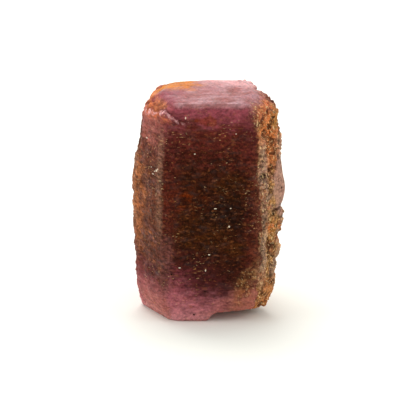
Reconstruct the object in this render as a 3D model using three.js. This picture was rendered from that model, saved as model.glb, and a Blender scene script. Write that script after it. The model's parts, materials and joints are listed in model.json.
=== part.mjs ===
// A rough ruby crystal, standing on its broken lower end.
//
// Corundum grows as a six-sided barrel: prism faces that lean in a little towards both ends, and a
// flat end face across the long axis. Here the barrel is wider than it is deep. Its upper end keeps
// the flat end face between sloping shoulders, and its lower end is snapped off almost flat, with a
// chip out of the front right of it.
//
// Units are millimetres, +Z is up along the crystal's long axis, and the broad smooth prism face
// looks towards -Y. The origin is on the surface that the crystal stands on, under its middle.

import * as THREE from "three";
import { mergeVertices } from "three/addons/utils/BufferGeometryUtils.js";
import { ImprovedNoise } from "three/addons/math/ImprovedNoise.js";

// Driving dimensions.
const WIDTH = 15.2;
const DEPTH = 12.0;
const HEIGHT = 22.6;

// Heights where the prism faces change their lean: the root above the broken end, the waist that
// stands upright, and the crown.
const ROOT = 0.11 * HEIGHT;
const WAIST_LOW = 0.4 * HEIGHT;
const WAIST_HIGH = 0.61 * HEIGHT;
const CROWN = 0.87 * HEIGHT;

// The prism faces, in order: front, right front, right back, back, left back, left front. Azimuth
// is the compass direction that a face looks in, in degrees from +X towards +Y, and reach is its
// distance from the long axis at the waist. It leans in by four angles: foot and root below the
// waist, neck and crown above it. Strips is how many mesh strips cross the face, and worn is how
// deep the edge after it is worn to a band.
const PRISM = [
  { azimuth: -90, reach: DEPTH / 2, foot: 2.4, root: 14, neck: 2.8, crown: 5, strips: 16, worn: 0.12 },
  { azimuth: -31, reach: 0.494 * WIDTH, foot: 5.4, root: 15, neck: 2.4, crown: 5, strips: 11, worn: 0.25 },
  { azimuth: 29, reach: 0.372 * WIDTH, foot: 7.4, root: 18, neck: 3, crown: 6, strips: 15, worn: 0.3 },
  { azimuth: 91, reach: DEPTH / 2, foot: 4, root: 12, neck: 5, crown: 12, strips: 11, worn: 0.35 },
  { azimuth: 150, reach: 0.408 * WIDTH, foot: 2.2, root: 5, neck: 4.2, crown: 6, strips: 14, worn: 0.14 },
  { azimuth: 211, reach: 0.454 * WIDTH, foot: 2.2, root: 20, neck: 3.6, crown: 5, strips: 11, worn: 0.3 },
];

// Mesh rows between the bottom, ROOT, WAIST_LOW, WAIST_HIGH, CROWN, the foot of the shoulders and
// the top, and the rings of the two flat ends, as parts of the way out from the axis.
const ROWS = [6, 13, 9, 11, 3, 8];
const END_RINGS = [0, 0.3, 0.62, 0.87];

// The shoulders start at least this far above CROWN and below HEIGHT.
const SHOULDER_GAP = 0.3;
const HALVINGS = 16;

// Relief: how deep it is, the size of one patch of it, and where its random pattern starts.
const LUMPS = { depth: 0.34, size: 3.6, start: 7.7 };
const KNOBS = { depth: 0.13, size: 1.5, start: 2.3 };
const SHOULDER_WAVES = { depth: 0.3, size: 2.4, start: 5.1, fade: 1 };
const GROWTH_STEPS = { depth: 0.13, size: 7.2, start: 4.2, height: 1.9, waver: 0.6, lip: 0.3, mean: 0.4 };

const { degToRad, lerp, clamp, smoothstep } = THREE.MathUtils;
const perlin = new ImprovedNoise();

function compass(azimuth) {
  return new THREE.Vector2(Math.cos(degToRad(azimuth)), Math.sin(degToRad(azimuth)));
}

// The plane of a broken or bevelled facet: the direction that it looks in (azimuth), how far its
// outward normal rises above the horizontal (rise), and its distance from the axis at one height.
function facet(azimuth, rise, reach, height) {
  const slope = Math.tan(degToRad(rise));
  return { normal: compass(azimuth), reachAt: (z) => reach + slope * (height - z) };
}

// Each cut takes away what lies beyond all of its facets at once: one facet alone makes a bevel,
// and two make a ledge. The shoulders slope down from the flat end face and give it its outline.
const SHOULDERS = [
  [facet(-25, 62, 5.1, HEIGHT)],
  [facet(12, 68, 4.0, HEIGHT)],
  [facet(20, 40, 5.8, 21.5)],
  [facet(86, 62, 2.7, HEIGHT)],
  [facet(103, 60, 2.6, HEIGHT)],
  [facet(95, 30, 4.8, 20.9)],
  [facet(160, 64, 3.75, HEIGHT)],
  [facet(172, 24, 5.75, 21.1)],
];

// The left shoulder is steeper and stops at a ledge, the broken rim of the left front face. Under
// the ledge the left side is set back, down to a steep broken slope.
const LEFT_SHOULDER = [facet(200, 37, 4.84, HEIGHT), facet(124, 76, 0, 20.95)];
const LEFT_SETBACK = [facet(182, 1, 6.55, 19), facet(186, 22, 7.0, 16.6)];
const SHOULDER_CUTS = [...SHOULDERS, LEFT_SHOULDER];
const ALL_CUTS = [...SHOULDER_CUTS, LEFT_SETBACK];

// The chip lifts the front right half of the foot off the surface: its roof rises towards the
// front and a little towards the right, and starts at a steep wall.
const CHIP = { x: 1.6, y: -4.95, height: 0.97, slopeX: 0.06, slopeY: -0.18, wall: 0.1, wallWidth: 0.5 };

// Marks on the surface, by azimuth and height, with a half size across and along the axis. A pit
// has a depth, and a blister a negative one.
const MARKS = [
  { azimuth: -40, height: 19.6, across: 0.8, along: 0.75, depth: 0.75 },
  { azimuth: -46, height: 15.3, across: 0.7, along: 0.6, depth: 0.45 },
  { azimuth: -33, height: 17.4, across: 0.7, along: 0.6, depth: 0.4 },
  { azimuth: -22, height: 13.4, across: 1.4, along: 2.1, depth: -0.2 },
  { azimuth: -21, height: 11.0, across: 1.3, along: 0.45, depth: 0.4 },
  { azimuth: -36, height: 8.2, across: 0.7, along: 1.0, depth: 0.45 },
  { azimuth: -30, height: 4.6, across: 0.9, along: 0.7, depth: 0.4 },
  { azimuth: 24, height: 16.5, across: 1.1, along: 0.9, depth: 0.6 },
  { azimuth: 33, height: 9.0, across: 0.9, along: 1.4, depth: 0.5 },
  { azimuth: 60, height: 10.5, across: 1.6, along: 1.8, depth: -0.3 },
  { azimuth: 80, height: 6.5, across: 1.0, along: 0.8, depth: 0.45 },
  { azimuth: 96, height: 13.0, across: 1.3, along: 0.9, depth: 0.5 },
  { azimuth: 118, height: 17.0, across: 1.5, along: 1.6, depth: -0.25 },
  { azimuth: 148, height: 10.4, across: 1.0, along: 1.2, depth: 0.4 },
  { azimuth: 199, height: 6.2, across: 0.8, along: 0.7, depth: 0.3 },
];

// The distance of a prism face from the axis at a height.
function prismReach({ reach, foot, root, neck, crown }, z) {
  const lean = (from, to, degrees) => Math.abs(to - from) * Math.tan(degToRad(degrees));
  const low = lean(clamp(z, ROOT, WAIST_LOW), WAIST_LOW, foot) + lean(Math.min(z, ROOT), ROOT, root);
  const high = lean(WAIST_HIGH, clamp(z, WAIST_HIGH, CROWN), neck) + lean(CROWN, Math.max(z, CROWN), crown);
  return reach - low - high;
}

// Where two lines meet in plan, each given by its normal and its distance from the axis.
function meeting(one, other) {
  const across = one.normal.cross(other.normal);
  const x = (one.reach * other.normal.y - other.reach * one.normal.y) / across;
  const y = (other.reach * one.normal.x - one.reach * other.normal.x) / across;
  return new THREE.Vector2(x, y);
}

// The crystal's plan outline at a height: its prism faces and the worn bands between them, as
// lines with the number of mesh strips along each.
function outlineLines(z) {
  const faces = PRISM.map((face) => ({ ...face, normal: compass(face.azimuth), reach: prismReach(face, z) }));
  return faces.flatMap((face, i) => {
    const next = faces[(i + 1) % faces.length];
    const normal = face.normal.clone().add(next.normal).normalize();
    const band = { normal, reach: normal.dot(meeting(face, next)) - face.worn, strips: 1 };
    return [face, band];
  });
}

// One point for each mesh column around that outline. A column stays on the same face or at the
// same edge all the way up, so the crystal's long edges come out straight and sharp.
function outlinePoints(z) {
  const lines = outlineLines(z);
  return lines.flatMap((line, i) => {
    const start = meeting(lines.at(i - 1), line);
    const end = meeting(line, lines[(i + 1) % lines.length]);
    return Array.from({ length: line.strips }, (_, step) => start.clone().lerp(end, step / line.strips));
  });
}

// How much of a point's distance from the axis the cuts leave.
function keptBy(cut, plan, z) {
  const parts = cut.map(({ normal, reachAt }) => {
    const out = normal.dot(plan);
    if (out <= reachAt(z)) return 1;
    return out > 0 ? Math.max(0, reachAt(z) / out) : 0;
  });
  return Math.max(...parts);
}

// A smooth random height between about -1 and 1: patches of one size, with half size ones on them.
function patches({ x, y, z }, { size, start }) {
  const large = perlin.noise(x / size + start, y / size + start, z / size);
  const small = perlin.noise((2 * x) / size, (2 * y) / size + start, (2 * z) / size + start);
  return large + small / 2;
}

// How rough the surface is: the right side is a pitted rind, the back and left are uneven, and the
// front prism face is almost smooth. Each side gets rough between two distances from the axis.
const SMOOTHEST = 0.16;
const ROUGH_SIDES = [
  { side: compass(0), from: 4.7, to: 5.7, rough: 1 },
  { side: compass(90), from: 0, to: 4, rough: 0.75 },
  { side: compass(180), from: 4.2, to: 5.6, rough: 0.4 },
];

function roughness(point) {
  const parts = ROUGH_SIDES.map(({ side, from, to, rough }) => rough * smoothstep(side.dot(point), from, to));
  return Math.max(SMOOTHEST, ...parts);
}

function spot(point, { azimuth, height, across, along }) {
  const turn = Math.atan2(point.y, point.x) - degToRad(azimuth);
  const arc = Math.atan2(Math.sin(turn), Math.cos(turn)) * (WIDTH / 2);
  return Math.exp(-((arc / across) ** 2) - ((point.z - height) / along) ** 2);
}

// Growth steps: low horizontal ledges, each one overhanging the barrel below it a little.
function growthSteps(point) {
  const { height, waver, lip, mean } = GROWTH_STEPS;
  const level = point.z / height + waver * patches(point, GROWTH_STEPS);
  const within = level - Math.floor(level);
  return within * smoothstep(1 - within, 0, lip) - mean;
}

// How far a point of the surface is moved outwards, straight away from the axis.
function relief(point) {
  const rough = roughness(point);
  const lumps = LUMPS.depth * rough * patches(point, LUMPS);
  const knobs = KNOBS.depth * rough * patches(point, KNOBS);
  const steps = GROWTH_STEPS.depth * lerp(0.35, 1, rough) * growthSteps(point);
  const marks = MARKS.reduce((sum, mark) => sum + mark.depth * spot(point, mark), 0);
  return lumps + knobs + steps - marks;
}

// The height of the broken foot over the surface that the crystal stands on.
function footHeight({ x, y }) {
  const roof = CHIP.height + CHIP.slopeX * (x - CHIP.x) + CHIP.slopeY * (y - CHIP.y);
  return Math.max(0, roof) * smoothstep(x, CHIP.wall, CHIP.wall + CHIP.wallWidth);
}

// The shoulders rise and sink in waves that die out at the end face and at the crown.
function shoulderWave(point) {
  const { depth, fade } = SHOULDER_WAVES;
  const among = smoothstep(point.z, CROWN - fade, CROWN) * smoothstep(HEIGHT - point.z, 0, fade);
  return depth * among * patches(point, SHOULDER_WAVES);
}

function keptByAll(cuts, plan, z) {
  return Math.min(...cuts.map((cut) => keptBy(cut, plan, z)));
}

// The surface point of a mesh column at a height, before the foot is broken.
function surfacePoint(column, z) {
  const plan = outlinePoints(z)[column];
  const kept = keptByAll(ALL_CUTS, plan, z);
  const point = new THREE.Vector3(plan.x * kept, plan.y * kept, z);
  const outward = new THREE.Vector3(point.x, point.y, 0).normalize();
  point.addScaledVector(outward, relief(point));
  point.z += shoulderWave(point);
  return point;
}

// The height where the shoulders start on a column, found by halving. A mesh row runs along it, so
// the edge of each shoulder and the ledge come out sharp.
function shoulderFoot(column) {
  let whole = CROWN + SHOULDER_GAP;
  let cutAway = HEIGHT - SHOULDER_GAP;
  for (let halving = 0; halving < HALVINGS; halving++) {
    const middle = (whole + cutAway) / 2;
    if (keptByAll(SHOULDER_CUTS, outlinePoints(middle)[column], middle) < 1) cutAway = middle;
    else whole = middle;
  }
  return whole;
}

// One column of the mesh, from the middle of the foot, up the side, to the middle of the end face.
function columnPoints(column) {
  const tiers = [0, ROOT, WAIST_LOW, WAIST_HIGH, CROWN, shoulderFoot(column), HEIGHT];
  const heights = ROWS.flatMap((rows, i) =>
    Array.from({ length: rows }, (_, row) => lerp(tiers[i], tiers[i + 1], row / rows)),
  );
  const side = [...heights, HEIGHT].map((z) => surfacePoint(column, z));
  const inwards = ({ x, y, z }) => END_RINGS.map((part) => new THREE.Vector3(x * part, y * part, z));
  return [...inwards(side[0]), ...side, ...inwards(side.at(-1)).reverse()];
}

// Below the root, heights close up towards the broken foot, so the chip's roof is the lowest ring.
function brokenAtFoot(point) {
  const lift = footHeight(point) * clamp(1 - point.z / ROOT, 0, 1);
  return point.clone().setZ(point.z + lift);
}

// Points closer together than this are one point.
const SAME_POINT = 1e-4;

// Drops the triangles that have two corners at one point, as half of those around a pole do.
function withoutFlatTriangles(geometry) {
  const corners = Array.from(geometry.index.array);
  const kept = [];
  for (let i = 0; i < corners.length; i += 3) {
    const triangle = corners.slice(i, i + 3);
    if (new Set(triangle).size === 3) kept.push(...triangle);
  }
  geometry.setIndex(kept);
  return geometry;
}

// A lathe turns the blank, a plain drum with closed ends, and each of its points is then pressed
// onto the crystal: the column and the row that it belongs to say where it goes.
function rubyGeometry() {
  const columns = Array.from(outlinePoints(0), (_, column) => columnPoints(column));
  const rows = columns[0].length;
  const profile = Array.from({ length: rows }, (_, row) => new THREE.Vector2(row % (rows - 1) ? 1 : 0, row));
  const blank = new THREE.LatheGeometry(profile, columns.length);
  const position = blank.getAttribute("position");
  for (let i = 0; i < position.count; i++) {
    const column = columns[Math.floor(i / rows) % columns.length];
    const point = brokenAtFoot(column[i % rows]);
    position.setXYZ(i, point.x, point.y, point.z);
  }
  blank.deleteAttribute("normal");
  blank.deleteAttribute("uv");
  const closed = withoutFlatTriangles(mergeVertices(blank, SAME_POINT));
  closed.computeBoundingBox();
  const middle = closed.boundingBox.getCenter(new THREE.Vector3());
  closed.translate(-middle.x, -middle.y, 0);
  closed.computeVertexNormals();
  return closed;
}

const ruby = new THREE.Mesh(
  rubyGeometry(),
  new THREE.MeshStandardMaterial({ color: 0x7a3f3c, roughness: 0.5, metalness: 0 }),
);
ruby.name = "ruby";

const part = new THREE.Group();
part.add(ruby);

export default part;
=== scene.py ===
# %% [markdown]
# # A rough ruby crystal
# This lesson dresses one natural crystal: a six-sided barrel of ruby, dark in its body, pink and
# orange where it is thin, with a pitted crust down its right side. The solid shape comes from the
# frame. Everything finer than half a millimetre, and every colour, is made here. In the node sums,
# lengths are in millimetres, and the origin is on the floor under the stone's middle.

# %% Load the frame
import json
import math
from functools import cache

import bpy
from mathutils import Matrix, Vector

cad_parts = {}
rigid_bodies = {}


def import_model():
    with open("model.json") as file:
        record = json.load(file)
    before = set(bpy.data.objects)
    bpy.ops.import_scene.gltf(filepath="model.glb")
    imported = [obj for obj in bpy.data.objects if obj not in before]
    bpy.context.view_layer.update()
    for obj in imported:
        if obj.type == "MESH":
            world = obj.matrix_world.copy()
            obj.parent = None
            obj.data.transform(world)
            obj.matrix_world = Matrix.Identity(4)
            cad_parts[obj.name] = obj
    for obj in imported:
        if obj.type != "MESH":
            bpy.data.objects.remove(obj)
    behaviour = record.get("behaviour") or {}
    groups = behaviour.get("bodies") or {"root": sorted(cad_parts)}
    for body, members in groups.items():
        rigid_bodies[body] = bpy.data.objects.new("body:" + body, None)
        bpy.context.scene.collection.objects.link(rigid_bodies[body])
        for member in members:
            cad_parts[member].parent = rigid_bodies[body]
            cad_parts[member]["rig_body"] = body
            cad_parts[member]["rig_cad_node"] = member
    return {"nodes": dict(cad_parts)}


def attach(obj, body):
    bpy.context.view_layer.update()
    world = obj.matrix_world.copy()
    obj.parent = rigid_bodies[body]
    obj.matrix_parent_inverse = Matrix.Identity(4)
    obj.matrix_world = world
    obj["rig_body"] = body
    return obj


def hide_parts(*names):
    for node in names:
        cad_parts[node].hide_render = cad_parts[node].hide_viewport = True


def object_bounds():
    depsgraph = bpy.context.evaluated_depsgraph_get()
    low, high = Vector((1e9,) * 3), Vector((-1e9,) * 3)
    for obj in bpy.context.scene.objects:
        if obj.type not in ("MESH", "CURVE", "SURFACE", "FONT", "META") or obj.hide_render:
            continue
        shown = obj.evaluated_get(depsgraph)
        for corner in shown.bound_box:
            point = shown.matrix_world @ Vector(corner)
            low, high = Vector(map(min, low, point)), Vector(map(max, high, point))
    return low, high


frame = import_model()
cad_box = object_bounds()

MM = 0.001
WIDTH, DEPTH, HEIGHT = ((high - low) / MM for low, high in zip(*cad_box))
print(f"The crystal is {WIDTH:.1f} x {DEPTH:.1f} x {HEIGHT:.1f} mm")

# %% [markdown]
# ## The camera
# A stone this small is photographed with a long lens, so its long edges stay almost parallel. The
# camera looks down by less than twenty degrees, enough to open up the end face. It aims a little
# below and to the left of the stone's middle, because the stone stands right of the middle of the
# picture.

# %% Place the camera
CAMERA_RISE = math.radians(18.5)
CAMERA_DISTANCE = 0.4
LENS = 363.6
NEAREST_SEEN = 0.01
STONE_RIGHT_OF_MIDDLE = 0.8 * MM
STONE_ABOVE_MIDDLE = 0.37 * MM

middle = Vector((0, 0, HEIGHT / 2 * MM))
back = Vector((0, -math.cos(CAMERA_RISE), math.sin(CAMERA_RISE)))
up = Vector((0, math.sin(CAMERA_RISE), math.cos(CAMERA_RISE)))
aim = middle - Vector((STONE_RIGHT_OF_MIDDLE, 0, 0)) - up * STONE_ABOVE_MIDDLE

bpy.ops.object.camera_add(location=aim + back * CAMERA_DISTANCE)
camera = bpy.context.object
camera.rotation_euler = (-back).to_track_quat("-Z", "Y").to_euler()
camera.data.lens = LENS
camera.data.clip_start = NEAREST_SEEN
bpy.context.scene.camera = camera
print(f"The camera stands {CAMERA_DISTANCE} m away with a {LENS} mm lens")

# %% [markdown]
# ## The floor
# The stone stands on a plain pale floor, almost white and a little warm, with hardly any shine. A
# large plane is enough, since its far edge is out of the picture.

# %% Lay the floor
FLOOR_SIZE = 6.0
FLOOR_TONE = (0.95, 0.95, 0.89, 1)
FLOOR_ROUGHNESS = 0.9
FLOOR_SHINE = 0.1

bpy.ops.mesh.primitive_plane_add(size=FLOOR_SIZE)
floor = bpy.context.object
floor.name = "floor"
floor_paint = bpy.data.materials.new("floor_paint")
floor_paint.use_nodes = True
floor_shader = floor_paint.node_tree.nodes["Principled BSDF"]
floor_shader.inputs["Base Color"].default_value = FLOOR_TONE
floor_shader.inputs["Roughness"].default_value = FLOOR_ROUGHNESS
floor_shader.inputs["Specular IOR Level"].default_value = FLOOR_SHINE
floor.data.materials.append(floor_paint)
print(f"The floor is {FLOOR_SIZE} m wide")

# %% [markdown]
# ## Soft light
# Large panels at the left, the right and above and behind the stone light its side faces and its
# top. No panel stands on the camera's side. The broad front face gets only the even light of the
# pale surroundings, so it stays deep and dark.

# %% Hang the panels
PANELS = [
    # name, azimuth, elevation, distance, size, watts
    ("panel_above", 200, 68, 0.5, 0.35, 1.6),
    ("panel_left", -78, 28, 0.45, 0.25, 0.35),
    ("panel_right", 80, 30, 0.45, 0.25, 0.35),
]
for name, azimuth, elevation, distance, size, watts in PANELS:
    turn, rise = math.radians(azimuth), math.radians(elevation)
    level = math.cos(rise)
    away = Vector((math.sin(turn) * level, -math.cos(turn) * level, math.sin(rise)))
    bpy.ops.object.light_add(type="AREA", location=middle + away * distance)
    panel = bpy.context.object
    panel.name = name
    panel.rotation_euler = (-away).to_track_quat("-Z", "Y").to_euler()
    panel.data.size = size
    panel.data.energy = watts

SURROUNDINGS_TONE = (1.0, 1.0, 0.98, 1)
SURROUNDINGS_STRENGTH = 0.7
surroundings = bpy.data.worlds.new("surroundings")
surroundings.use_nodes = True
soft_light = surroundings.node_tree.nodes["Background"].inputs
soft_light["Color"].default_value = SURROUNDINGS_TONE
soft_light["Strength"].default_value = SURROUNDINGS_STRENGTH
bpy.context.scene.world = surroundings
bpy.context.scene.view_settings.view_transform = "Standard"
print(f"Lit by {len(PANELS)} panels")

# %% [markdown]
# ## A short way to write node sums
# The relief and the colours are both sums over the stone's own coordinates. A node tree holds such
# a sum well, but reads badly. Here a socket is wrapped in a small class, so that a sum is written
# as a sum and adds its own Math nodes.

# %% Wrap a socket
class Wire:
    """A node's output that can stand in a sum of numbers."""

    def __init__(self, graph, socket):
        self.graph, self.socket = graph, socket

    def sum(self, operation, *values):
        return self.graph.add("ShaderNodeMath", {"operation": operation}, dict(enumerate(values)))

    def __add__(self, other):
        return self.sum("ADD", self, other)

    def __sub__(self, other):
        return self.sum("SUBTRACT", self, other)

    def __rsub__(self, other):
        return self.sum("SUBTRACT", other, self)

    def __mul__(self, other):
        return self.sum("MULTIPLY", self, other)

    def __truediv__(self, other):
        return self.sum("DIVIDE", self, other)

    def __pow__(self, other):
        return self.sum("POWER", self, other)

    __radd__, __rmul__ = __add__, __mul__

    def at_least(self, other):
        return self.sum("MAXIMUM", self, other)

    def at_most(self, other):
        return self.sum("MINIMUM", self, other)

    def ramp(self, start, end):
        """0 at start, 1 at end, smooth between them, whichever of the two is larger."""
        settings = {"interpolation_type": "SMOOTHSTEP"}
        values = {"Value": self, "From Min": start, "From Max": end}
        return self.graph.add("ShaderNodeMapRange", settings, values)


print("Sockets can stand in sums")

# %% [markdown]
# ## One way to add any other node
# Every other kind of node comes from one method, which takes the node's kind, its settings and the
# values or links of its sockets. Short methods name the few kinds that this stone needs. The same
# class serves the geometry tree and the material tree, so a pit and the painted shade in it
# share a mask.

# %% Wrap a tree
class Graph:
    """A node tree of a material or of a geometry modifier."""

    def __init__(self, tree):
        self.tree = tree

    def add(self, kind, settings=None, values=None, output=0):
        node = self.tree.nodes.new(kind)
        for key, setting in (settings or {}).items():
            setattr(node, key, setting)
        for key, value in (values or {}).items():
            if isinstance(value, Wire):
                self.tree.links.new(value.socket, node.inputs[key])
            else:
                node.inputs[key].default_value = value
        return Wire(self, node.outputs[output])

    def split(self, vector):
        kind = "ShaderNodeSeparateXYZ"
        return [self.add(kind, None, {0: vector}, output) for output in range(3)]

    def join(self, x, y, z):
        return self.add("ShaderNodeCombineXYZ", None, {0: x, 1: y, 2: z})

    def together(self, first, second):
        """Adds two vectors."""
        return self.add("ShaderNodeVectorMath", {"operation": "ADD"}, {0: first, 1: second})

    def scaled(self, vector, factor):
        """Makes a vector longer or shorter, or a colour lighter or darker."""
        values = {0: vector, "Scale": factor}
        return self.add("ShaderNodeVectorMath", {"operation": "SCALE"}, values)

    def blend(self, factor, low, high):
        """Mixes two colours."""
        return self.add("ShaderNodeMix", {"data_type": "RGBA"}, {0: factor, 6: low, 7: high}, 2)

    def noise(self, place, size, detail=2.0, roughness=0.5):
        """Soft patches of one size in millimetres, from 0 to 1."""
        values = {"Vector": place, "Scale": 1 / size, "Detail": detail, "Roughness": roughness}
        return self.add("ShaderNodeTexNoise", None, values)

    def push(self, place, size, detail):
        """Three soft patterns at once, as a vector that can push another pattern about."""
        values = {"Vector": place, "Scale": 1 / size, "Detail": detail}
        return self.add("ShaderNodeTexNoise", None, values, 1)

    def cells(self, place, size):
        """How far a place is from the middle of the nearest of many cells."""
        return self.add("ShaderNodeTexVoronoi", None, {"Vector": place, "Scale": 1 / size})


print("Node trees can be written as sums")

# %% [markdown]
# ## Where things are on the crystal
# A crystal has a natural map. Each place lies on one prism face, at some distance from the long
# edge next to it. That distance comes from the six face planes alone: how far the place is from
# the nearest plane, less how far it is from the second nearest. The map follows the stone all the
# way round, so a finish that reads it looks right from every side. The class also holds the noise
# patterns, most of which get their own start, so that they don't lie on top of each other. What
# several finishes share is marked with cache, so each tree holds its nodes only once.

# %% Map the crystal
FACES = {
    # name: the way it looks, in degrees, and how far out it lies
    "front": (-90, 0.497 * DEPTH),
    "right_front": (-31, 0.497 * WIDTH),
    "right_back": (29, 0.374 * WIDTH),
    "back": (91, 0.497 * DEPTH),
    "left_back": (150, 0.411 * WIDTH),
    "left_front": (211, 0.457 * WIDTH),
}
DOT_RAGGEDNESS = 2.2


class Place:
    """The stone's own coordinates in millimetres, and measures that both trees share."""

    def __init__(self, graph, metres):
        self.graph = graph
        self.mm = graph.scaled(metres, 1 / MM)
        self.x, self.y, self.z = graph.split(self.mm)
        self.depths = {name: self.depth(*face) for name, face in FACES.items()}
        nearest, second = None, None
        for depth in self.depths.values():
            if nearest is None:
                nearest = depth
                continue
            behind = nearest.at_most(depth)
            second = behind if second is None else second.at_least(behind)
            nearest = nearest.at_least(depth)
        self.edge = nearest - second

    def depth(self, azimuth, reach):
        """How far a place is outside one prism plane."""
        turn = math.radians(azimuth)
        return self.x * math.cos(turn) + self.y * math.sin(turn) - reach

    @cache
    def on(self, name, soft=0.4, wider=0.0):
        """1 on one prism face, all the way to its long edges, or a little wider than that."""
        names = list(FACES)
        turn = names.index(name)
        next_name = names[(turn + 1) % len(names)]
        beside = self.depths[names[turn - 1]].at_least(self.depths[next_name])
        return ((self.depths[name] - beside + wider) / soft).ramp(-1, 1)

    @cache
    def front_half(self):
        """1 on the front half, fading out over the sides."""
        return self.y.ramp(1.5, -1.5)

    def stretched(self, flatness, start):
        """Coordinates that squash a pattern in height, moved along to give each its own look."""
        return self.graph.join(self.x + start, self.y + start, self.z * flatness + start)

    def patches(self, size, start=0.0, detail=2.0, roughness=0.5):
        """Soft patches, from 0 to 1, mostly near a half."""
        return self.graph.noise(self.stretched(1, start), size, detail, roughness)

    def streaks(self, size, start=0.0, detail=2.0, flatness=3.0, roughness=0.5):
        """Patches that are drawn out sideways, as growth lines are."""
        return self.graph.noise(self.stretched(flatness, start), size, detail, roughness)

    def waver(self, size, start=0.0, detail=2.0, roughness=0.5):
        """Soft patches on both sides of 0, which make a border or a surface uneven."""
        return self.patches(size, start, detail, roughness) - 0.5

    @cache
    def drift(self):
        """The broad waver that the borders of the body, the crown and the foot share."""
        return self.waver(2.6, start=1.3, detail=3)

    @cache
    def veil(self):
        """The fine streaks, on both sides of 0, that run through the tones of the sides."""
        return self.streaks(1.9, start=6.0, detail=6, flatness=2.6, roughness=0.68) - 0.5

    def oval(self, x, z, wide, high):
        """0 at a point given by x and z, 1 on an oval round it, and more outside."""
        across, along = (self.x - x) / wide, (self.z - z) / high
        return across * across + along * along

    def around(self, x, z, wide, high, ragged=0.6, start=0.0):
        """1 round a point of the front half, fading out over a ragged oval."""
        waver = self.waver(1.1, start, detail=3) * ragged * 2
        return (self.oval(x, z, wide, high) ** 0.5 + waver).ramp(1.25, 0.65) * self.front_half()

    def dots(self, marks):
        """1 on small ragged ovals of the front half: x, height, half the width, half the height."""
        total, waver = None, self.waver(0.22, start=5.7) * DOT_RAGGEDNESS
        for mark in marks:
            dot = (self.oval(*mark) + waver).ramp(1.3, 0.5)
            total = dot if total is None else total.at_least(dot)
        return total * self.front_half()


print(f"Mapped {len(FACES)} prism faces")

# %% [markdown]
# ## Zones
# The real stone has a few zones that look and feel different. Each zone is a mask from 0 to 1, and
# a mask's border wanders with the noise, because no border on a natural stone is straight. The two
# simplest go by height: the end face, which is smooth and glossy, and the shoulders under it.

# %% Mask the end face and the crown
@cache
def end_mask(place):
    """1 on the flat end face."""
    waver = place.waver(0.9, start=2.6, detail=4)
    return (place.z + waver * 0.4).ramp(HEIGHT - 0.38, HEIGHT - 0.12)


@cache
def crown_mask(place):
    """1 on the shoulders and the end face."""
    return place.z.ramp(HEIGHT - 2.6, HEIGHT - 1.2)


print("Masked the end face and the crown")

# %% [markdown]
# ## The zone of the crust
# A crust of etched grains covers the right side and reaches over the right shoulder, with a skirt
# of it on the front face's lower right corner. It starts where the right front plane comes nearer
# than the front plane, so its border keeps to the long edge. A smooth swelling sits in the crust.

# %% Mask the crust and its swelling
@cache
def crust_mask(place):
    """1 on the crust: the two right faces, part of the back face, and a thinner skirt in front."""
    waver = place.waver(2.2, start=3.1, detail=6, roughness=0.62)
    shoulder = place.z.ramp(19.0, 21.3)
    below_shoulder = place.z.ramp(15, 16.5) * place.z.ramp(19.4, 17.6)
    border = place.depths["right_front"] - place.depths["front"] + waver * 2 - 0.22
    border = border + shoulder * 0.6 + below_shoulder * 0.3
    border = border.ramp(-0.2 - shoulder * 0.6, 0.16 + shoulder * 0.3)

    skirt = place.x * 1.03 - place.z + 1.2 + waver * 6
    skirt = skirt.ramp(-1.0, 0.9) * skirt.ramp(3.2, 1.4) * place.x.ramp(1.8, 3.6) * 0.48
    front_part = border.at_least(skirt) * place.y.ramp(1.2, -0.6)
    back_part = (place.x + waver * 6).ramp(2.2, 2.5) * place.y.ramp(-1.2, 0.6)
    return front_part.at_least(back_part)


@cache
def swelling_mask(place):
    """1 on the smooth swelling, half way up the crust."""
    across, deep, along = place.x - 7.1, (place.y + 2.7) / 1.5, (place.z - 13.4) / 2.4
    waver = place.waver(1.5, start=6.9, detail=5, roughness=0.62)
    return (across * across + deep * deep + along * along + waver * 3.2).ramp(1.8, 1.0)


print("Masked the crust and its swelling")

# %% [markdown]
# ## The grains of the crust
# Seen close, the crust is a heap of broken grains with gaps between them. Cells at two sizes give
# grains, and pushing the cells about with noise keeps them from looking like bubbles. Both the
# relief and the colour read this one pattern.

# %% Lay out the grains
GRAIN_SIZES = 0.95, 0.4
GRAIN_SHARES = 0.55, 0.45


@cache
def crust_grains(place):
    """Broken grains of the crust: 1 on top of each grain, falling to 0 in the gaps between them."""
    graph = place.graph
    pushed = graph.scaled(graph.push(place.mm, 0.625, detail=3.0), 0.7)
    where = graph.together(place.mm, pushed)
    large, small = (graph.cells(where, size).ramp(0.75, 0.1) for size in GRAIN_SIZES)
    return large * GRAIN_SHARES[0] + small * GRAIN_SHARES[1]


print(f"The crust's grains are {GRAIN_SIZES[0]} and {GRAIN_SIZES[1]} mm wide")

# %% [markdown]
# ## The ledge
# A ledge is broken out under the left shoulder. Seen from the front, its line rises to the right
# and then falls again. The lower of two slopes gives that line, and the height above it serves the
# raised lip, its painted highlight and the painted shade in the corner behind it.

# %% Measure from the ledge
@cache
def ledge(place):
    """How far a place is above the broken ledge, and a mask of the part of the stone with it."""
    waver = place.waver(0.9, start=4.9, detail=4, roughness=0.6)
    rising = place.x * 0.417 + 23.55
    falling = 19.1 - place.x * 0.64
    above = place.z - rising.at_most(falling) + waver
    return above, place.x.ramp(-2.0, -2.8) * place.y.ramp(0.6, -0.6)


print("Measured from the ledge")

# %% [markdown]
# ## A copy to dress
# The solid itself stays as it is, and a copy of it is dressed. The solid's triangles are loose, so
# those of the copy are merged first, into one closed surface.

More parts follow.
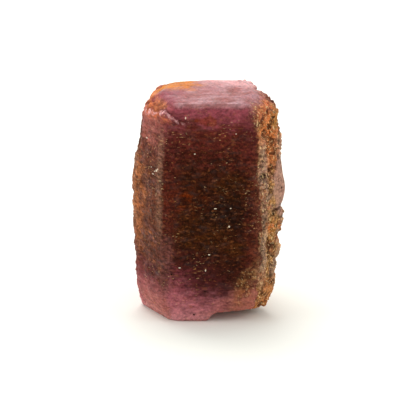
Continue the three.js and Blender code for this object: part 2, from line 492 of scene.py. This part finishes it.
# %% Copy the solid
MERGE_DISTANCE = 1e-6
bpy.ops.object.select_all(action="DESELECT")
source = frame["nodes"]["ruby"]
source.select_set(True)
bpy.context.view_layer.objects.active = source
bpy.ops.object.duplicate()
stone = bpy.context.object
stone.name = "ruby_crystal"
stone.parent = None
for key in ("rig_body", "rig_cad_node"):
    if key in stone:
        del stone[key]

bpy.ops.object.mode_set(mode="EDIT")
bpy.ops.mesh.select_all(action="SELECT")
bpy.ops.mesh.remove_doubles(threshold=MERGE_DISTANCE)
bpy.ops.object.mode_set(mode="OBJECT")
print(f"The merged copy has {len(stone.data.polygons)} faces")

# %% [markdown]
# ## The skin of the stone
# The solid's facets are half a millimetre wide. To carry grains and growth lines, the stone needs
# a finer skin, the same all over. Cutting each facet into four would keep the sharp facets. So the
# copy is remeshed into small equal faces, and relaxed until the old facets and the sharp corners
# are worn away.

# %% Give it a fine skin
VOXEL = 0.124 * MM
RELAX_STRENGTH = 0.5
RELAX_STEPS = 18
skin = stone.modifiers.new("skin", "REMESH")
skin.mode = "VOXEL"
skin.voxel_size = VOXEL
bpy.ops.object.modifier_apply(modifier=skin.name)
relax = stone.modifiers.new("relax", "SMOOTH")
relax.factor = RELAX_STRENGTH
relax.iterations = RELAX_STEPS
bpy.ops.object.modifier_apply(modifier=relax.name)
print(f"The skin has {len(stone.data.polygons)} faces")

# %% [markdown]
# ## Relief of the smooth sides
# Growth lines run round a ruby as low horizontal ridges, its broad faces swell a little, and its
# long edges are nibbled. The shoulders are broken more roughly. A bump map would leave the outline
# of the stone smooth, so all relief is real geometry: one sum says how far the skin is moved along
# its normal. The sum is built in three steps, and this is the first.

# %% Sum the relief of the smooth sides
GRAIN_HEIGHT, NIBBLE_DEPTH = 0.24, 0.3
LINE_HEIGHT, SWELL_HEIGHT, BREAK_HEIGHT = 0.34, 0.4, 0.9


def small_relief(place):
    """Small grains all over the stone, and the nibbles along its long edges."""
    grains = place.waver(0.5, start=5.2, detail=4, roughness=0.6) * GRAIN_HEIGHT
    nibbled = place.patches(0.9, start=6.4, detail=4).ramp(0.42, 0.66)
    return grains, place.edge.ramp(0.9, 0.0) * nibbled * NIBBLE_DEPTH


def smooth_relief(place, grains, nibbles):
    """Growth lines and swells on the sides, and rougher breaks on the shoulders."""
    lines = place.streaks(1.1, start=1.7, detail=5, flatness=4.0, roughness=0.6) - 0.5
    swells = place.waver(2.6, start=3.8)
    sides = lines * LINE_HEIGHT + grains * 0.6 + swells * SWELL_HEIGHT - nibbles
    breaks = place.waver(1.5, start=4.4, detail=5, roughness=0.6)
    shoulders = breaks * BREAK_HEIGHT + grains - nibbles * 0.5
    crown = crown_mask(place)
    return sides * (1 - crown) + shoulders * crown


print(f"Growth lines are up to {LINE_HEIGHT / 2} mm high")

# %% [markdown]
# ## Relief of the crust
# The crust is lumpy, with cavities between the lumps, grains all over it and a few deep pits that
# the eye picks out. The lumps and cavities come from noise. The pits are placed one by one, where
# the real stone has them. On the swelling all of this dies away.

# %% Sum the relief of the crust
LUMP_HEIGHT, CAVITY_DEPTH, PIT_DEPTH = 0.7, 0.34, 0.25
CRUST_GRAIN_HEIGHT, CRUST_RISE = 0.3, 0.06
PITS = [
    # x, height, half the width, half the height
    (5.9, 19.7, 0.3, 0.32), (6.35, 20.4, 0.2, 0.16), (5.4, 15.0, 0.28, 0.3),
    (6.3, 10.75, 0.35, 0.16), (6.8, 11.1, 0.35, 0.16), (7.25, 11.45, 0.3, 0.14),
    (7.2, 13.3, 0.09, 0.12),
]


def crust_relief(place, grains, nibbles):
    """Lumps, cavities, grains and pits, and the smooth swelling among them."""
    lumps = place.waver(1.9, start=8.8, detail=4, roughness=0.6) * LUMP_HEIGHT
    cavities = place.patches(1.0, start=2.2, detail=3).ramp(0.4, 0.28) * CAVITY_DEPTH
    crust = lumps + grains - cavities - nibbles * 0.5 + CRUST_RISE
    crust = crust + (crust_grains(place) - 0.6) * CRUST_GRAIN_HEIGHT
    crust = crust - place.dots(PITS) * PIT_DEPTH
    swelling = swelling_mask(place)
    return crust * (1 - swelling) + swelling * CRUST_RISE


print(f"The crust has {len(PITS)} deep pits besides its grain")

# %% [markdown]
# ## The whole relief
# The last step joins the parts through their masks. It adds the raised lip of the ledge and faint
# growth marks on the end face, and wears the right shoulder down a little. All of it fades out
# just above the floor, so the stone still stands flat.

# %% Sum the whole relief
LIP_HEIGHT, GROWTH_HEIGHT, WEAR_DEPTH = 0.3, 0.09, 0.32


def relief_height(place):
    """How far the skin is moved outwards, in millimetres."""
    grains, nibbles = small_relief(place)
    crust, end = crust_mask(place), end_mask(place)
    sides = smooth_relief(place, grains, nibbles) * (1 - crust)
    sides = sides + crust_relief(place, grains, nibbles) * crust

    above, by_ledge = ledge(place)
    lip = above.ramp(-1.1, -0.1) * above.ramp(0.12, -0.06) * LIP_HEIGHT
    growth = (place.streaks(1.6, start=7.0, detail=3, flatness=1) - 0.5) * GROWTH_HEIGHT
    worn = place.x.ramp(5.3, 6.8) * place.z.ramp(18.6, 20.4) * WEAR_DEPTH
    off_floor = place.z.ramp(0.05, 0.5)
    return ((sides + lip * by_ledge) * (1 - end) + growth * end - worn) * off_floor


print(f"The right shoulder is worn down by up to {WEAR_DEPTH} mm")

# %% [markdown]
# ## Pressing the relief in
# A geometry modifier reads each place of the skin, works out the sum there and moves the place
# along its normal. The modifier is applied at once, so the piece ends as a plain mesh, and the
# colours later read the places where the skin really is.

# %% Press the relief into the skin
relief_tree = bpy.data.node_groups.new("relief", "GeometryNodeTree")
relief_tree.interface.new_socket("Geometry", in_out="INPUT", socket_type="NodeSocketGeometry")
relief_tree.interface.new_socket("Geometry", in_out="OUTPUT", socket_type="NodeSocketGeometry")
sums = Graph(relief_tree)
incoming, outgoing = sums.add("NodeGroupInput"), relief_tree.nodes.new("NodeGroupOutput")
position, normal = sums.add("GeometryNodeInputPosition"), sums.add("GeometryNodeInputNormal")
shift = sums.scaled(normal, relief_height(Place(sums, position)) * MM)
moved = sums.add("GeometryNodeSetPosition", None, {"Geometry": incoming, "Offset": shift})
relief_tree.links.new(moved.socket, outgoing.inputs[0])

relief = stone.modifiers.new("relief", "NODES")
relief.node_group = relief_tree
bpy.ops.object.modifier_apply(modifier=relief.name)
bpy.ops.object.shade_smooth()
print(f"The relief took {len(relief_tree.nodes)} nodes")

# %% [markdown]
# ## Colour
# Ruby of this kind lets light through only where it is thin. The body looks dark brown, the crown
# and the foot pink, and thin rims glow orange. Light inside the stone could be simulated, but a
# cloudy stone needs very many samples for that. The colour is painted instead, as a stack: the
# body first, then each zone mixed over it. All the tones are given as they look on a screen.

# %% List the tones
def tone(red, green, blue):
    """A colour given as it looks on a screen, turned into light."""
    def light(part):
        value = part / 255
        return ((value + 0.055) / 1.055) ** 2.4 if value > 0.04 else value / 12.92
    return light(red), light(green), light(blue), 1


BODY, BLACK_BROWN, BROWN_RED = tone(50, 19, 7), tone(30, 12, 5), tone(90, 34, 27)
BODY_OLIVE, BODY_ORANGE = tone(57, 26, 5), tone(112, 40, 3)
PLUM, DARK_PLUM, GREY_PLUM = tone(147, 71, 81), tone(71, 27, 28), tone(122, 80, 73)
PINK, PALE_PINK, BROWN_PINK = tone(180, 109, 115), tone(216, 160, 160), tone(162, 96, 82)
MAUVE, LILAC = tone(156, 98, 95), tone(178, 128, 132)
# The third tone below is a painted highlight for the long edges of the left front face.
SIDE, DARK_SIDE, EDGE_HIGHLIGHT = tone(105, 59, 41), tone(80, 40, 28), tone(146, 112, 92)
# The first tone below serves rust coloured patches and dust, and the painted glow of the thin rim.
RUST_AND_GLOW, ORANGE, BRIGHT_ORANGE = tone(176, 104, 58), tone(190, 102, 66), tone(206, 124, 52)
PEACH = tone(214, 144, 96)
CRUST_BROWN, CRUST_ORANGE = tone(140, 86, 52), tone(200, 116, 63)
CRUST_BEIGE, CRUST_GOLD = tone(150, 122, 105), tone(170, 120, 60)
CRUST_DARK, SWELLING = tone(60, 32, 20), tone(162, 122, 106)
# SPARK is the tone of the glints, which are painted highlights.
SPARK, GOLD_SPARK, CREAM_SPARK = tone(250, 232, 206), tone(206, 150, 86), tone(238, 200, 146)
print("Listed the tones of the body, the crust and the end face")

# %% [markdown]
# ## The body
# The four smooth prism faces are darkest on the front and the back, and browner at the sides. A
# veil of streaks runs through every tone, since the stone grew in thin layers. It also breaks up
# the border of each zone, which would look airbrushed without it.

# %% Colour the prism faces
@cache
def edge_softness(place):
    """How soft a colour's border is at a long edge: sharp low down, softer at the crown."""
    return 0.35 + place.z.ramp(15, 20) * 0.7


def body_colour(graph, place):
    drift, veil = place.drift(), place.veil()
    front = place.on("front", soft=edge_softness(place), wider=0.3)
    side = graph.blend(veil.ramp(-0.12, 0.16), DARK_SIDE, SIDE)
    side = graph.blend((veil + drift).ramp(0.1, 0.4) * 0.45, side, RUST_AND_GLOW)
    side = graph.blend((drift - veil).ramp(0.0, 0.25) * 0.5, side, GREY_PLUM)
    return graph.blend(front.at_least(place.on("back") * 0.8), side, BODY)


print("The prism faces have their tones")

# %% [markdown]
# ## Clouds and glow in the body
# Olive and near black clouds lie in the dark front face, and orange patches of painted glow show
# where light shines through. The face turns redder towards its long edges. The clouds and the glow
# are placed where the real stone has them, and so is one darker patch on the left. Behind, such
# clouds and glow are left to the noise.

# %% Colour the clouds and the glow
def clouded(graph, place, colour):
    veil, behind = place.veil(), place.y.ramp(-1, 2)
    front = place.on("front", soft=edge_softness(place), wider=0.3)
    off_left = 1 - place.on("left_front", soft=0.3)

    olive = place.around(2.6, 14.2, 2.0, 1.5)
    olive = olive.at_least(place.around(-0.8, 9.6, 3.4, 1.9, ragged=0.8, start=3.0))
    olive = olive.at_least(place.around(2.7, 8.1, 1.7, 1.1, ragged=0.8, start=5.0))
    olive = olive.at_least(place.patches(3.0, start=4.1, detail=4).ramp(0.5, 0.6) * behind)
    colour = graph.blend(olive * veil.ramp(-0.16, 0.12) * off_left, colour, BODY_OLIVE)

    # Painted glow: orange patches where light shines through the body, in front and behind.
    orange = place.around(-2.6, 13.0, 2.2, 1.3, ragged=1.4, start=2.0) * 0.6
    orange_behind = place.patches(2.2, start=7.9, detail=4).ramp(0.56, 0.66) * behind * 0.7
    orange = orange.at_least(orange_behind) * veil.ramp(-0.1, 0.14)
    colour = graph.blend(orange, colour, BODY_ORANGE)

    black = place.around(1.9, 11.6, 3.0, 1.4, ragged=0.8, start=7.0)
    colour = graph.blend(black * 0.6, colour, BLACK_BROWN)
    left_patch = place.around(-6, 12.8, 1.6, 1.7, ragged=0.9, start=9.0)
    colour = graph.blend(left_patch * 0.4, colour, DARK_SIDE)

    margin = place.edge + veil * 2.5
    colour = graph.blend(margin.ramp(2.0, 0.2) * front * 0.5, colour, BROWN_RED)
    return graph.blend(margin.ramp(0.9, 0.0) * front * place.x.ramp(1, 4) * 0.5, colour, SIDE)


print("The body has its clouds")

# %% [markdown]
# ## The crown
# The crown is thinner than the body, so more light comes back out of it, and it turns from brown
# to plum. It is darker towards both long edges of the front face, on the left with painted shade
# under the ledge, and one small orange cloud lies between them. Each border is a height that
# wanders with the noise.

# %% Colour the crown
@cache
def left_front(place):
    """1 on the left front face, where both ends are browner."""
    return place.on("left_front", soft=edge_softness(place)) * place.y.ramp(0.5, -2.5)


def crown_colour(graph, place, colour):
    drift, veil, left = place.drift(), place.veil(), left_front(place)
    front = place.on("front", soft=edge_softness(place), wider=0.3)
    height = place.z + drift * 2 + veil * 9
    colour = graph.blend(height.ramp(15.2, 19.8) * 0.85, colour, BROWN_RED)
    plum = (place.z + drift * 2 + veil * 6 + left * 1.6).ramp(19.4, 22.3)
    colour = graph.blend(plum, colour, PLUM)
    colour = graph.blend((height + left * 2.4).ramp(18.8, 22.0) * left * 0.6, colour, BROWN_PINK)

    across = place.x + drift * 2
    # Painted shade under the ledge on the left, and a darker right edge of the front face.
    left_shade = across.ramp(-2.2, -3.8) * across.ramp(-5.6, -4.6)
    flanks = left_shade.at_least(across.ramp(2.4, 4.4) * front)
    flanks = flanks * place.y.ramp(-1, -3) * place.z.ramp(22.2, 21.0) * place.z.ramp(16, 18)
    colour = graph.blend(flanks * 0.42, colour, DARK_PLUM)
    cloud = place.around(-0.1, 20.9, 1.0, 0.5, ragged=1.0, start=4.0)
    return graph.blend(cloud * 0.6, colour, BODY_ORANGE)


print("The crown has its tones")

# %% [markdown]
# ## The foot
# The foot narrows a little to where it is snapped off, so light comes back out of it too. It turns
# from brown over dark plum to pink, and painted light makes it palest where it meets the floor. The
# pink reaches highest on the left, and the right corner is browner.

# %% Colour the foot
def foot_colour(graph, place, colour):
    drift, veil, left = place.drift(), place.veil(), left_front(place)
    front = place.on("front", soft=edge_softness(place), wider=0.3)
    dark = (place.z + drift * 2 + veil * 5 + place.x.ramp(-2, 4) * 2.5).ramp(8.6, 4.6)
    colour = graph.blend(dark * 0.7, colour, DARK_PLUM)
    low_left = (place.z + drift * 2.5 + veil * 6 + place.x * 0.75 + left * 2.2).ramp(4.6, -1.4)
    colour = graph.blend(low_left * (1 - left * 0.5), colour, PLUM)
    foot = (place.z + drift * 1.6 + veil * 4 + place.x.ramp(-5, 3) * 0.8).ramp(4.6, 0.6)
    colour = graph.blend(foot, colour, PINK)

    low_right = (place.z * 1.4 - place.x + drift * 2 + veil * 7).ramp(3.0, -1.2) * front
    behind = foot * place.y.ramp(-1, 2) * 0.6
    brown = low_right.at_least(foot * left * 0.8).at_least(behind)
    colour = graph.blend(brown, colour, BROWN_PINK)
    # Painted light: the foot is paler just above the floor.
    return graph.blend(place.z.ramp(1.6, 0.1) * 0.3, colour, PALE_PINK)


print("The foot has its tones")

# %% [markdown]
# ## Thin rims, edge highlights and the ledge
# The far left rim and the left shoulder are thin enough to glow orange. The left front face has
# painted highlights in strips along its long edges, and lower down the left edges have a greyish
# plum painted sheen. The ledge has a painted highlight along its lip and painted shade in the
# corner behind it.

# %% Colour the rims, the edges and the ledge
def rims_colour(graph, place, colour):
    waver = place.waver(1.4, start=1.3, detail=5, roughness=0.6)
    height = place.z + waver * 12
    # Painted glow on the thin far left rim.
    rim = (place.x + waver * 3).ramp(-5.8, -7.3) * height.ramp(4, 10) * height.ramp(18, 14)
    colour = graph.blend(rim * place.veil().ramp(-0.25, 0.1) * 0.75, colour, RUST_AND_GLOW)
    # Painted glow on the thin left shoulder.
    shoulder = crown_mask(place) * (waver * 7 - place.x).ramp(3.6, 5.4)
    colour = graph.blend(shoulder, colour, graph.blend(place.z.ramp(21.2, 22.6), ORANGE, PEACH))

    # Painted highlights in strips along the long edges of the left front face.
    middle_part = place.z.ramp(20.5, 18.5) * place.z.ramp(8, 10) * place.x.ramp(3, 1)
    strip = (place.edge + waver * 0.8).ramp(1.3, 0.7) * place.edge.ramp(0.1, 0.5) * middle_part
    colour = graph.blend(strip * place.on("left_front", soft=0.3) * 0.3, colour, EDGE_HIGHLIGHT)
    # Painted sheen: lower down, the left edges turn a greyish plum.
    low = place.z.ramp(10, 8) * place.z.ramp(2.5, 4) * place.x.ramp(-2, -4)
    colour = graph.blend((place.edge + waver * 2).ramp(1.3, 0.2) * low * 0.35, colour, GREY_PLUM)

    above, by_ledge = ledge(place)
    # Painted highlight along the ledge's lip.
    lip = above.ramp(-0.35, -0.1) * above.ramp(0.12, -0.02) * by_ledge
    lip = lip * place.patches(0.6, start=2.2, detail=4, roughness=0.6).ramp(0.36, 0.58)
    colour = graph.blend(lip * 0.85, colour, PALE_PINK)
    # Painted shade in the corner just behind the lip.
    lip_shade = above.ramp(0.4, 0.12) * above.ramp(0.0, 0.1) * by_ledge
    return graph.blend(lip_shade * 0.5, colour, DARK_PLUM)


print("The rims, the edges and the ledge have their tones")

# %% [markdown]
# ## The crust
# The crust is a mix of brown, orange, beige and gold patches, broken into grains. Painted shade
# lies in the gaps between them and in the deep pits. The same grains were pressed into the skin, so
# every shaded gap is a real hollow. A paler band, dimmer half way up, runs beside the front face.
# The swelling has one even tone with a darker border.

# %% Colour the crust
def crust_colour(graph, place):
    mottle = place.waver(2.0, start=6.6, detail=7, roughness=0.68)
    patchy = place.patches(3.2, start=2.0, detail=6, roughness=0.6)
    shown = place.on("right_front", soft=0.7)
    height = place.z + mottle * 12

    colour = graph.blend(mottle.ramp(-0.08, 0.08), CRUST_BROWN, CRUST_BEIGE)
    colour = graph.blend(patchy.ramp(0.52, 0.6) * 0.8, colour, CRUST_ORANGE)
    colour = graph.blend(patchy.ramp(0.42, 0.34) * 0.6, colour, BROWN_PINK)
    colour = graph.blend(height.ramp(13.8, 17.2) * 0.9 * shown, colour, CRUST_ORANGE)
    gold = (mottle + place.z.ramp(13, 9) * 0.1).ramp(0.02, 0.1)
    colour = graph.blend(gold * 0.75, colour, CRUST_GOLD)
    colour = graph.blend(height.ramp(6.0, 2.0) * 0.6, colour, RUST_AND_GLOW)

    band = place.edge.ramp(1.7, 0.9) * shown * place.z.ramp(2.5, 5) * place.z.ramp(20, 17.5)
    pale = (mottle + place.z.ramp(13, 16) * 0.1).ramp(-0.15, 0.05)
    colour = graph.blend(band * pale * 0.8, colour, CRUST_BEIGE)
    dim = band * place.z.ramp(8.5, 10.5) * place.z.ramp(13.6, 12.0)
    colour = graph.blend(dim * 0.35, colour, CRUST_DARK)

    swelling = swelling_mask(place)
    colour = graph.blend(swelling * 0.8, colour, SWELLING)
    colour = graph.blend(swelling * (1 - swelling) * 0.8, colour, CRUST_DARK)
    # Painted shade in the gaps between the grains and in the deep pits.
    gaps = crust_grains(place).ramp(0.42, 0.12) * (1 - swelling) * (0.8 - band * 0.3)
    return graph.blend(gaps.at_least(place.dots(PITS) * 0.85), colour, CRUST_DARK)


print("The crust has its tones")

# %% [markdown]
# ## The end face
# The flat top of the crystal is its smoothest face. It is mauve with lilac clouds, pink towards
# the back, plum along its left rim and a little darker at the front. It glows orange at its far
# left corner, where the stone is thin. Its streaks run aslant, so the noise gets turned
# coordinates here.

# %% Colour the end face
def end_colour(graph, place):
    waver = place.waver(1.8, start=1.3, detail=5, roughness=0.6)
    aslant = graph.join(place.x * 0.5 - place.y * 1.2, place.y + place.x * 0.2, place.z)
    streak = graph.noise(aslant, 1.1, detail=5) - 0.5
    colour = graph.blend((waver + streak).ramp(-0.22, 0.22), MAUVE, LILAC)
    colour = graph.blend((place.y + place.x * 0.25 + waver * 4).ramp(-0.5, 2.8), colour, PALE_PINK)
    # Painted glow at the end face's far left corner, where the stone is thin.
    corner = (waver * 5 - place.x + place.y * 0.2).ramp(0.4, 2.0)
    orange = corner * (place.y + waver * 3).ramp(-1.8, 0.4)
    colour = graph.blend(orange * (0.95 - streak * 2), colour, BRIGHT_ORANGE)
    near_rim = (place.x * 0.3 - place.y + waver * 3).ramp(2.2, 6.0)
    colour = graph.scaled(colour, 1 - near_rim * 0.12)
    left_rim = (place.x + waver * 4).ramp(-1.8, -3.8) * (1 - orange)
    colour = graph.blend(left_rim * 0.8, colour, PLUM)
    return graph.blend(streak.ramp(0.12, 0.25) * 0.5, colour, PALE_PINK)


print("The end face has its tones")

# %% [markdown]
# ## Light and dark grain
# Up close the whole stone is speckled with short streaks and grains, most strongly in the dark
# body and least on the end face. They lighten and darken the tones under them, and rust coloured
# dust lies on the smooth sides. A lower limit keeps the darkest grains from looking like pepper.

# %% Add the light and dark grain
DARKEST_GRAIN = 0.55
DUST_STRENGTH = 0.22


def speckled(graph, place, colour):
    crust, end, swelling = crust_mask(place), end_mask(place), swelling_mask(place)
    mottle = place.waver(1.0, start=7.7, detail=6, roughness=0.68)
    streak = place.streaks(0.7, start=2.9, detail=5, flatness=2.6, roughness=0.68) - 0.5
    grain = place.waver(0.24, start=1.1, detail=3, roughness=0.6)
    core = place.z.ramp(3, 7) * place.z.ramp(20.5, 17)

    light = (mottle * (1 + core * 0.6) + streak * (1.7 + core * 1.7)) * (1 - end * 0.3)
    light = light + grain * (1.6 + core * 1.9 + crust * 0.6) * (1 - end * 0.2)
    light = (light * (1 - swelling * 0.4) + 1).at_least(DARKEST_GRAIN)
    colour = graph.scaled(colour, light)
    dust = place.streaks(0.45, start=1.9, detail=4, flatness=1.7, roughness=0.6).ramp(0.54, 0.7)
    return graph.blend(dust * (1 - crust) * (1 - end) * DUST_STRENGTH, colour, RUST_AND_GLOW)


print("The tones have their grain")

# %% [markdown]
# ## Specks, flecks and glints
# Golden and cream flecks lie on the crust and in clouds on the body. A few bright glints, which
# are painted highlights, and a few dark specks stand out at once. Those few are placed one by one,
# and the rest come from the peaks of the noise. The cream chips on the crust lie aslant, across its
# grain.

# %% Add the small marks
GLINTS = [
    # x, height, half the width, half the height
    (0.7, 12.05, 0.14, 0.06), (2.2, 12.05, 0.08, 0.06), (2.05, 10.2, 0.08, 0.09),
    (0.1, 7.25, 0.12, 0.05), (-2.8, 5.9, 0.14, 0.05), (-0.25, 5.6, 0.06, 0.12),
    (2.7, 19.6, 0.06, 0.06), (-5.05, 15.6, 0.09, 0.13), (-5.4, 15.1, 0.08, 0.06),
    (-5.22, 15.47, 0.07, 0.05), (-4.93, 15.8, 0.05, 0.09), (-5.55, 15.75, 0.06, 0.04),
    (-6.0, 18.3, 0.08, 0.05), (-1.3, 17.6, 0.09, 0.05), (-2.2, 21.2, 0.07, 0.12),
]
SPECKS = [(-1.4, 0.75, 0.14, 0.1), (-3.6, 5.2, 0.1, 0.1), (-0.3, 3.4, 0.16, 0.07)]


def marked(graph, place, colour):
    crust, off_end, off_swelling = crust_mask(place), 1 - end_mask(place), 1 - swelling_mask(place)
    colour = graph.blend(place.dots(SPECKS), colour, BLACK_BROWN)

    clouds = place.patches(2.2, start=9.3, detail=4).ramp(0.46, 0.6) * 0.8
    upper_left = place.z.ramp(12, 14) * place.z.ramp(20.5, 19) * place.on("left_front")
    clouds = clouds.at_least(upper_left * 0.9)
    gold = place.streaks(0.34, start=3.3, flatness=2.4).ramp(0.62, 0.74)
    gold = gold * crust.at_least(clouds) * off_end * off_swelling
    rare = place.streaks(0.42, start=8.3, flatness=2.0).ramp(0.72, 0.8)
    creamy = place.patches(0.8, start=2.7, detail=3).ramp(0.42, 0.58)
    fleck = graph.blend(creamy, GOLD_SPARK, CREAM_SPARK)
    colour = graph.blend(gold.at_least(rare) * 0.6, colour, fleck)

    aslant = graph.join(place.x * 2.2 + place.z, place.y * 2.2, place.z - place.x * 0.4)
    chips = graph.noise(aslant, 0.42).ramp(0.58, 0.7) * crust * off_end * off_swelling
    colour = graph.blend(chips * 0.75, colour, CREAM_SPARK)
    # The glints are highlights painted into the colour.
    return graph.blend(place.dots(GLINTS) * off_end * 0.75, colour, SPARK)


print(f"Placed {len(GLINTS)} glints and {len(SPECKS)} dark specks")

# %% [markdown]
# ## The stack of colours
# The parts are stacked from the inside out, and the small marks come last. The crust is mixed in a
# little weaker on the crown, and the end face fades out over its own rim.

# %% Stack the colours
ruby = bpy.data.materials.new("ruby")
ruby.use_nodes = True
paint = Graph(ruby.node_tree)
place = Place(paint, paint.add("ShaderNodeTexCoord", output="Object"))

colour = clouded(paint, place, body_colour(paint, place))
colour = foot_colour(paint, place, crown_colour(paint, place, colour))
colour = rims_colour(paint, place, colour)
on_crust = crust_mask(place) * (1 - crown_mask(place) * 0.3)
colour = paint.blend(on_crust, colour, crust_colour(paint, place))
rim_waver = place.waver(1.4, start=1.3, detail=4) * 0.4
on_end = (place.z + rim_waver).ramp(HEIGHT - 0.7, HEIGHT - 0.15)
colour = paint.blend(on_end, colour, end_colour(paint, place))
colour = marked(paint, place, speckled(paint, place, colour))
print(f"The colours took {len(ruby.node_tree.nodes)} nodes")

# %% [markdown]
# ## The finish
# The body is dull to the eye, with almost no shine. A clear coat stands for the polish that the
# end face has in patches, and for a faint satin in patches on the smooth sides. A little light
# spreads under the surface. The finest pores are a bump, as they are smaller than the faces of
# the skin.

# %% Finish the material
EVEN_FINISH = {
    "Specular IOR Level": 0.02,
    "Subsurface Weight": 0.15,
    "Subsurface Radius": (1.0, 0.35, 0.25),
    "Subsurface Scale": 0.5 * MM,
    "Coat Roughness": 0.25,
}
shader = ruby.node_tree.nodes["Principled BSDF"]
for name, setting in EVEN_FINISH.items():
    shader.inputs[name].default_value = setting

end = end_mask(place)
polish = place.patches(1.2, start=3.9, detail=3).ramp(0.35, 0.65) * 0.5 + 0.1
satin = place.streaks(0.9, start=4.4, detail=4, flatness=2.0).ramp(0.5, 0.68) * 0.2
satin = satin * (1 - crust_mask(place)) + 0.02
pores = place.patches(0.16, start=7.3) + place.streaks(0.3, start=3.3, flatness=3) * 0.6
bumps = {"Strength": 0.4, "Distance": 0.08 * MM, "Height": pores}
varied_finish = {
    "Base Color": colour,
    "Roughness": 0.62 - place.patches(0.5, start=4.0) * 0.25,
    "Coat Weight": end * polish + satin * (1 - end),
    "Normal": paint.add("ShaderNodeBump", None, bumps),
}
for name, wire in varied_finish.items():
    ruby.node_tree.links.new(wire.socket, shader.inputs[name])
stone.data.materials.clear()
stone.data.materials.append(ruby)
print(f"The ruby's finish took {len(ruby.node_tree.nodes)} nodes")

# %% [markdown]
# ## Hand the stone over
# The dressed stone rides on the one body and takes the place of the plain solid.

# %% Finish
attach(stone, "root")
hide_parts("ruby")
